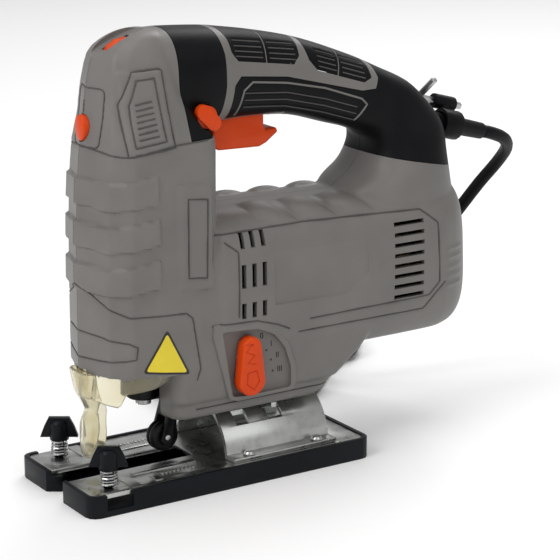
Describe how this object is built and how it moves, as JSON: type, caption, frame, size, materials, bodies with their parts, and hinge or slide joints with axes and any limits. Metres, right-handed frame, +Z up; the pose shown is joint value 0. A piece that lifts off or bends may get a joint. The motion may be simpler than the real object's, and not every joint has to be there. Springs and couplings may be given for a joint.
{
  "type": "corded jigsaw",
  "caption": "Corded jigsaw with a closed loop handle, hollow two-half housing, motor and reciprocating blade drive, tilting sole, speed dial, orbit knob and a coiled mains lead.",
  "frame": {"origin": "centre of the sole's bottom face, on the plane the tool stands on", "axes": "+Y towards the rear (the mains lead), the blade edge faces -Y; +Z up; +X the operator's left side, with the orbit knob and lock button"},
  "size_m": [0.1911, 0.2955, 0.2288],
  "materials": {
    "grey_plastic": "fine grain",
    "black_rubber": "soft, fine grain",
    "black_plastic": "satin",
    "orange_plastic": "smooth",
    "clear_plastic": "clear, slightly yellow",
    "zinc_steel": "bright zinc plated",
    "steel": "machined",
    "black_steel": "blackened",
    "laminated_iron": "stacked sheet",
    "copper": null,
    "brass": "machined",
    "carbon": null,
    "cast_alloy": "die cast",
    "circuit_board": "resin board"
  },
  "bodies": {
    "housing": {"housing_left": "grey_plastic", "housing_right": "grey_plastic", "grip_left": "black_rubber", "grip_right": "black_rubber", "strain_relief": "black_rubber", "key_clip": "black_rubber", "cord_lead": "black_rubber", "cord_tail": "black_rubber", "cord_coil": "black_rubber", "plug_body": "black_plastic", "plug_pin_left": "steel", "plug_pin_right": "steel", "hex_key": "steel", "cord_clamp": "black_plastic", "gear_frame": "cast_alloy", "gear_stud": "steel", "upper_bush": "brass", "lower_bush": "brass", "stator": "laminated_iron", "front_bearing": "steel", "rear_bearing": "steel", "brush_holder_left": "brass", "brush_holder_right": "brass", "carbon_brush_left": "carbon", "carbon_brush_right": "carbon", "switch_body": "black_plastic", "speed_board": "circuit_board", "laser_module": "black_plastic", "chip_guard": "clear_plastic", "clamp_saddle": "steel", "housing_screw_1": "steel", "housing_screw_2": "steel", "housing_screw_3": "steel", "housing_screw_4": "steel", "housing_screw_5": "steel"},
    "trigger": {"trigger": "orange_plastic"},
    "lock_button": {"lock_button": "orange_plastic"},
    "laser_button": {"laser_button": "orange_plastic"},
    "speed_dial": {"speed_dial": "orange_plastic"},
    "orbit_knob": {"orbit_knob": "orange_plastic"},
    "guide_fork": {"guide_fork": "black_steel", "roller_pin": "steel"},
    "guide_roller": {"guide_roller": "black_steel"},
    "armature": {"armature_shaft": "steel", "armature_core": "laminated_iron", "commutator": "copper", "cooling_fan": "black_plastic"},
    "drive_gear": {"drive_gear": "steel"},
    "plunger": {"plunger": "steel"},
    "clamp_collar": {"clamp_collar": "black_steel"},
    "base": {"sole_cover": "black_plastic", "base_plate": "zinc_steel", "bevel_bracket": "zinc_steel", "fence_spring_left": "steel", "fence_spring_right": "steel"},
    "fence_screw_left": {"fence_screw_left": "black_plastic"},
    "fence_screw_right": {"fence_screw_right": "black_plastic"},
    "bevel_screw": {"bevel_screw": "steel"}
  },
  "joints": [
    {"name": "trigger_press", "type": "slide", "parent": "housing", "child": "trigger", "axis": [0, 0, 1], "range_m": [0, 0.0045], "stiffness_N_per_m": 1200, "springref_m": -0.003},
    {"name": "lock_button_press", "type": "slide", "parent": "housing", "child": "lock_button", "axis": [-1, 0, 0], "range_m": [0, 0.0025], "stiffness_N_per_m": 1200, "springref_m": -0.0015},
    {"name": "laser_button_press", "type": "slide", "parent": "housing", "child": "laser_button", "axis": [0, 1, 0], "range_m": [0, 0.0015], "stiffness_N_per_m": 1500, "springref_m": -0.001},
    {"name": "speed_dial_turn", "type": "hinge", "parent": "housing", "child": "speed_dial", "pos_m": [0, -0.0376, 0.2111], "axis": [1, 0, 0], "range_deg": [-140, 140]},
    {"name": "orbit_knob_turn", "type": "hinge", "parent": "housing", "child": "orbit_knob", "pos_m": [0.0286, 0.0115, 0.053], "axis": [-1, 0, 0], "range_deg": [0, 72]},
    {"name": "guide_fork_swing", "type": "hinge", "parent": "housing", "child": "guide_fork", "pos_m": [0, -0.0145, 0.059], "axis": [-1, 0, 0], "range_deg": [0, 3]},
    {"name": "guide_roller_spin", "type": "hinge", "parent": "guide_fork", "child": "guide_roller", "pos_m": [0, -0.021, 0.021], "axis": [1, 0, 0], "continuous": true},
    {"name": "armature_spin", "type": "hinge", "parent": "housing", "child": "armature", "pos_m": [0, 0.0675, 0.0975], "axis": [0, 1, 0], "continuous": true},
    {"name": "drive_gear_spin", "type": "hinge", "parent": "housing", "child": "drive_gear", "pos_m": [0, -0.015, 0.1215], "axis": [0, 1, 0], "continuous": true},
    {"name": "plunger_stroke", "type": "slide", "parent": "housing", "child": "plunger", "axis": [0, 0, 1], "range_m": [-0.01, 0.01]},
    {"name": "clamp_collar_turn", "type": "hinge", "parent": "plunger", "child": "clamp_collar", "pos_m": [0, -0.0315, 0.05], "axis": [0, 0, 1], "range_deg": [0, 45], "stiffness_Nm_per_rad": 0.1, "springref_deg": -20.05},
    {"name": "base_bevel", "type": "hinge", "parent": "housing", "child": "base", "pos_m": [0, 0, 0.01], "axis": [0, 1, 0], "range_deg": [-30, 30]},
    {"name": "fence_screw_left_turn", "type": "hinge", "parent": "base", "child": "fence_screw_left", "pos_m": [0.026, -0.06595, 0.02], "axis": [0, 0, 1], "continuous": true},
    {"name": "fence_screw_right_turn", "type": "hinge", "parent": "base", "child": "fence_screw_right", "pos_m": [-0.026, -0.06595, 0.02], "axis": [0, 0, 1], "continuous": true},
    {"name": "bevel_screw_turn", "type": "hinge", "parent": "housing", "child": "bevel_screw", "pos_m": [0, 0.0325, 0.03], "axis": [0, 0, 1], "continuous": true}
  ],
  "couplings": [
    {"joint": "drive_gear_spin", "follows": "armature_spin", "ratio": -0.14286}
  ]
}
